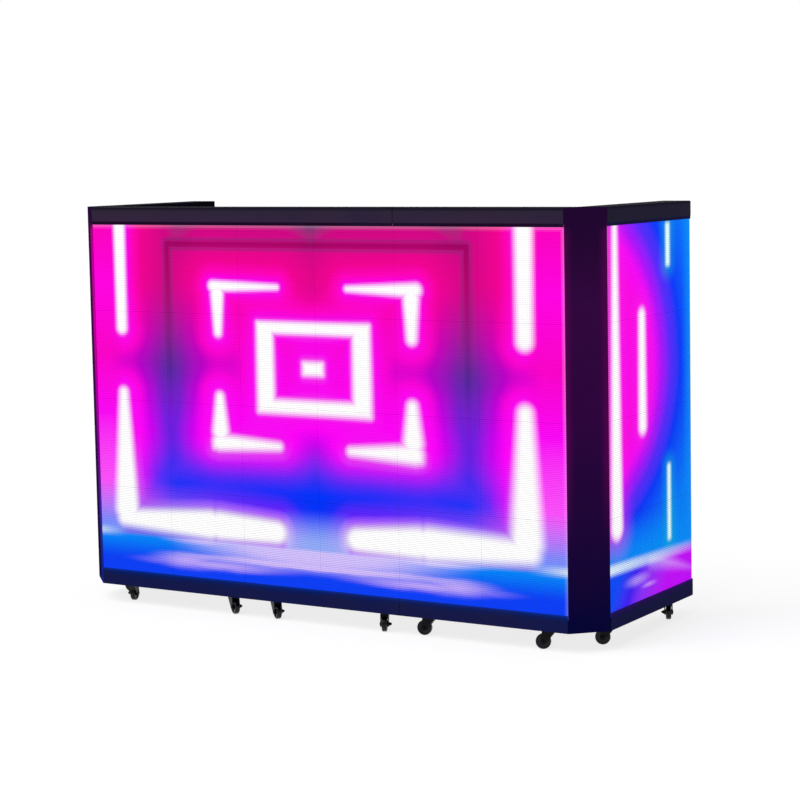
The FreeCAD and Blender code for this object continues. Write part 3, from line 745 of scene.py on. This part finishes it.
def column_lit_colour(place, facing):
    """Painted screen light on a dark column: violet, brighter in the middle of its height, with painted glow
    from the screens on both sides and a darker painted top face.
    """
    share = (place[2] - screen_foot) * (1 / screen_height)
    paint = ramp(share, column_lit_shares)
    across = (abs(place[0]) - column_low.x) * (1 / (column_high.x - column_low.x))
    lit = smooth(share, *column_glow_up_shares) * smooth(share, *column_glow_top_shares)
    edge = smooth(abs(across - column_middle_share), *column_glow_side_shares)
    paint = blend(paint, column_glow_colour, edge * lit * column_glow_share)
    left = smooth(place[0], *column_left_shares) * smooth(across, *column_left_across_shares)
    left = left * smooth(share, *column_glow_top_shares)
    paint = blend(paint, ramp(share, column_left_glow_shares), left)
    return blend(paint, column_top_shade_colour, smooth(facing[2], *column_top_shade_shares))


# Painted light by height: screen light tints the dark coat navy on the plinth, bright blue at its top edge
# and plum-grey on the rail face, with a painted shadow band under the rail and a darker painted top edge
front_trim_lit_shares = (
    (-0.035, (22, 26, 74)), (-0.010, (20, 26, 76)), (-0.002, (14, 28, 84)), (0.004, (8, 29, 98)),
    (0.0115, (5, 48, 155)), (0.990, (31, 7, 37)), (1.000, (31, 7, 37)), (1.002, (53, 37, 64)),
    (1.032, (48, 40, 57)), (1.036, (27, 21, 36)), (1.041, (27, 21, 36)),
)
# The same painted screen light, shadow band and darker top edge on the wings' trim
wing_trim_lit_shares = (
    (-0.035, (20, 22, 75)), (-0.006, (20, 20, 80)), (0.004, (37, 8, 96)), (0.0115, (54, 11, 122)),
    (0.990, (16, 17, 73)), (1.000, (16, 17, 73)), (1.002, (41, 37, 60)), (1.034, (41, 37, 60)),
    (1.037, (27, 21, 36)), (1.041, (27, 21, 36)),
)
trim_wing_shares = (0.5, 0.6)
# Painted shade: the wings' inner faces turn near black
trim_inner_shade_shares = (-0.3, -0.5)
trim_inner_shade_colour = (8, 5, 18)


def trim_lit_colour(place, facing):
    """Painted screen light on the dark coat: navy at the plinth and plum-grey at the rail, tinted along the
    screen, with a painted shadow band under the rail and painted shade, near black, inside the wings.
    """
    share = (place[2] - screen_foot) * (1 / screen_height)
    on_wing = smooth(abs(facing[0]), *trim_wing_shares)
    paint = blend(ramp(share, front_trim_lit_shares), ramp(share, wing_trim_lit_shares), on_wing)
    return blend(paint, trim_inner_shade_colour, smooth(place[0] * facing[0], *trim_inner_shade_shares))


board_scale = 420.0
board_shares = (0.47, 0.53)
board_colour = (16, 66, 40)
board_track_colour = (60, 128, 84)
board_roughness = 0.45


def circuit_board(name):
    """Green board with paler tracks."""
    material, tree, shader = new_material(name)
    place = place_of(tree)
    tracks = noise(*(axis * board_scale for axis in place), 0.0)
    paint = blend(board_colour, board_track_colour, smooth(tracks, *board_shares))
    tree.links.new(paint.socket, shader.inputs["Base Color"])
    feed(tree, board_roughness, shader.inputs["Roughness"])
    return material


materials = {
    "cabinet": coated_metal("cabinet_coat", (40, 40, 44), (50, 50, 55), (96, 96, 100),
                            roughness=0.55, specular=0.30),
    "cover": coated_metal("cover_coat", (46, 46, 50), (56, 56, 60), (104, 104, 108),
                          roughness=0.60, specular=0.30),
    "trim": coated_metal("trim_coat_painted_light", trim_lit_colour, (34, 30, 58), (60, 54, 72), roughness=0.50, specular=0.01),
    "column": coated_metal("column_coat_painted_glow", column_lit_colour, (36, 10, 56), (60, 40, 74),
                           roughness=0.50, specular=0.0),
    "supply": plain_metal("supply_steel", (190, 192, 196), (150, 152, 158), roughness=0.38),
    "card": circuit_board("card_board"),
    "socket": moulded_plastic("socket_plastic", (26, 26, 28), (52, 52, 54), roughness=0.42, specular=0.40),
    "screw": plain_metal("screw_zinc", (176, 178, 182), (120, 122, 126), roughness=0.32),
    "bolt": plain_metal("bolt_steel", (168, 170, 174), (118, 120, 124), roughness=0.34),
    "hinge": coated_metal("hinge_coat", (34, 34, 38), (44, 44, 48), (120, 120, 124),
                          roughness=0.50, specular=0.40),
    "hinge_pin": plain_metal("pin_steel", (186, 188, 190), (140, 142, 146), roughness=0.25),
    "fork": coated_metal("fork_coat", (5, 5, 16), (9, 9, 22), (34, 36, 50), roughness=0.35, specular=0.12),
    "wheel": moulded_plastic("wheel_plastic", (4, 4, 15), (12, 13, 28), roughness=0.18, specular=0.25),
}
front_screen = led_material("front_screen", front_picture, 0, 0.0, 1, -1)
right_screen = led_material("right_screen", wing_picture, 1, wing_front, 0, 1)
left_screen = led_material("left_screen", wing_picture, 1, wing_front, 0, -1)

for name, node in nodes.items():
    material = materials.get(slot_of_node[name])
    if material:
        node.data.materials.clear()
        node.data.materials.append(material)


# LED tiles with a fin above each row of lamps
weld_share = 0.1
weld_distance = fin_depth * weld_share
sort_digits = 3


def solid_boxes(node):
    """The low and high corners of a node's separate solids, from the foot up."""
    mesh = bmesh.new()
    mesh.from_mesh(nodes[node].data)
    bmesh.ops.remove_doubles(mesh, verts=mesh.verts, dist=weld_distance)
    boxes = []
    waiting = set(mesh.verts)
    while waiting:
        found = [waiting.pop()]
        for vert in found:
            near = [edge.other_vert(vert) for edge in vert.link_edges]
            fresh = [other for other in near if other in waiting]
            waiting.difference_update(fresh)
            found.extend(fresh)
        low = Vector([min(vert.co[axis] for vert in found) for axis in range(3)])
        high = Vector([max(vert.co[axis] for vert in found) for axis in range(3)])
        boxes.append((low, high))
    mesh.free()
    return sorted(boxes, key=lambda box: [round(box[0][axis], sort_digits) for axis in (2, 0, 1)])


def tile_profile(low, high):
    """A tile's side view as (depth behind the face, height) points, with its fins."""
    points = []
    row_height = (high.z - low.z) / lamps_per_tile
    for row in range(lamps_per_tile):
        strip_foot = low.z + row * row_height
        strip_top = strip_foot + row_height * (1 - fin_share)
        row_top = strip_foot + row_height
        points += [(fin_depth, strip_foot), (fin_depth, strip_top), (0, strip_top), (0, row_top)]
    return points


def tile_mesh(name, low, high, facing_axis, facing_sign):
    """A closed tile: the finned side view drawn out across the tile's width."""
    across_axis = 1 - facing_axis
    face = low[facing_axis] if facing_sign < 0 else high[facing_axis]
    thickness = high[facing_axis] - low[facing_axis]
    outline = tile_profile(low, high)
    outline += [(thickness, high.z), (thickness, low.z)]
    shape = bmesh.new()
    sides = []
    for across in (low[across_axis], high[across_axis]):
        side = []
        for depth, up in outline:
            corner = Vector((0, 0, up))
            corner[across_axis] = across
            corner[facing_axis] = face - facing_sign * depth
            side.append(shape.verts.new(corner))
        sides.append(side)
    first, second = sides
    for place in range(len(outline)):
        after = (place + 1) % len(outline)
        shape.faces.new((first[place], first[after], second[after], second[place]))
    shape.faces.new(first)
    shape.faces.new(second)
    bmesh.ops.recalc_face_normals(shape, faces=shape.faces)
    mesh = bpy.data.meshes.new(name)
    shape.to_mesh(mesh)
    shape.free()
    return mesh


def led_tiles(node, body, material, facing_axis, facing_sign):
    """Finned tiles in the place of a node's plain ones."""
    for number, (low, high) in enumerate(solid_boxes(node), 1):
        name = f"{node[:-1]}_{number:02d}"
        mesh = tile_mesh(name, low, high, facing_axis, facing_sign)
        mesh.materials.append(material)
        tile = bpy.data.objects.new(name, mesh)
        scene.collection.objects.link(tile)
        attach(tile, body)
        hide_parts(node)


led_tiles("front_led_tiles", "front", front_screen, 1, -1)
led_tiles("wing_left_led_tiles", "wing_left", left_screen, 0, -1)
led_tiles("wing_right_led_tiles", "wing_right", right_screen, 0, 1)


# Camera at the photograph's viewing angle
camera_place = Vector((3.3059, -5.1828, 1.2950))
camera_turn = math.radians(30.5636)
camera_dip = math.radians(5.6012)
camera_roll = math.radians(-0.9507)
camera_sensor = 36.0
photograph_pixels = 800
focus_pixels = 2218.48
camera_focus_share = focus_pixels / photograph_pixels
camera_shift_shares = (-0.0625, -0.05)


def add_camera():
    """A camera turned to the left, dipped and rolled a little."""
    camera = bpy.data.objects.new("camera", bpy.data.cameras.new("camera"))
    camera.data.sensor_width = camera_sensor
    camera.data.lens = camera_sensor * camera_focus_share
    camera.data.shift_x, camera.data.shift_y = camera_shift_shares
    upright = Matrix.Rotation(math.pi / 2 - camera_dip, 4, "X")
    turned = Matrix.Rotation(camera_turn, 4, "Z")
    rolled = Matrix.Rotation(camera_roll, 4, "Z")
    camera.matrix_world = Matrix.Translation(camera_place) @ turned @ upright @ rolled
    scene.collection.objects.link(camera)
    scene.camera = camera


# Floor, surroundings and light
floor_half = 60.0
floor_colour = (228, 228, 230)
floor_seen_colour = (140, 140, 141)
floor_seen_strength = 0.78
world_strength = 0.42
sun_strength = 2.0
sun_soft = math.radians(50)
sun_tilt = math.radians(38)
sun_turn = math.radians(-25)


def seen_directly(tree):
    """1 where the camera, a mirror or a glass looks at the surface, and 0 for the light that it throws."""
    path = tree.nodes.new("ShaderNodeLightPath")
    rays = ("Is Camera Ray", "Is Glossy Ray", "Is Transmission Ray")
    return most(*(Field(tree, path.outputs[ray]) for ray in rays))


def add_floor():
    """A pale floor that keeps the booth's shadow and runs to the horizon."""
    material, tree, shader = new_material("floor_pale")
    seen = tree.nodes.new("ShaderNodeBsdfPrincipled")
    for surface, colour in ((shader, floor_colour), (seen, floor_seen_colour)):
        feed(tree, colour, surface.inputs["Base Color"])
        feed(tree, 1.0, surface.inputs["Roughness"])
        feed(tree, 0.0, surface.inputs["Specular IOR Level"])
    feed(tree, white, seen.inputs["Emission Color"])
    feed(tree, floor_seen_strength, seen.inputs["Emission Strength"])
    choose = tree.nodes.new("ShaderNodeMixShader")
    tree.links.new(seen_directly(tree).socket, choose.inputs[0])
    tree.links.new(shader.outputs[0], choose.inputs[1])
    tree.links.new(seen.outputs[0], choose.inputs[2])
    output = next(node for node in tree.nodes if node.type == "OUTPUT_MATERIAL")
    tree.links.new(choose.outputs[0], output.inputs["Surface"])
    mesh = bpy.data.meshes.new("floor")
    corners = [(-floor_half, -floor_half, 0), (floor_half, -floor_half, 0),
               (floor_half, floor_half, 0), (-floor_half, floor_half, 0)]
    mesh.from_pydata(corners, [], [(0, 1, 2, 3)])
    mesh.materials.append(material)
    floor = bpy.data.objects.new("floor", mesh)
    scene.collection.objects.link(floor)


def add_world():
    """White where it is seen, and a plain soft light from all round."""
    world = bpy.data.worlds.new("studio")
    world.use_nodes = True
    tree = world.node_tree
    background = tree.nodes["Background"]
    feed(tree, white, background.inputs["Color"])
    path = tree.nodes.new("ShaderNodeLightPath")
    seen = Field(tree, path.outputs["Is Camera Ray"])
    tree.links.new((seen * (1 - world_strength) + world_strength).socket, background.inputs["Strength"])
    scene.world = world


def add_sun():
    """One wide, soft lamp from above the front's left."""
    sun = bpy.data.objects.new("sun", bpy.data.lights.new("sun", "SUN"))
    sun.data.energy = sun_strength
    sun.data.angle = sun_soft
    sun.matrix_world = Matrix.Rotation(sun_turn, 4, "Z") @ Matrix.Rotation(sun_tilt, 4, "X")
    scene.collection.objects.link(sun)


add_camera()
add_floor()
add_world()
add_sun()
scene.view_settings.view_transform = "Standard"
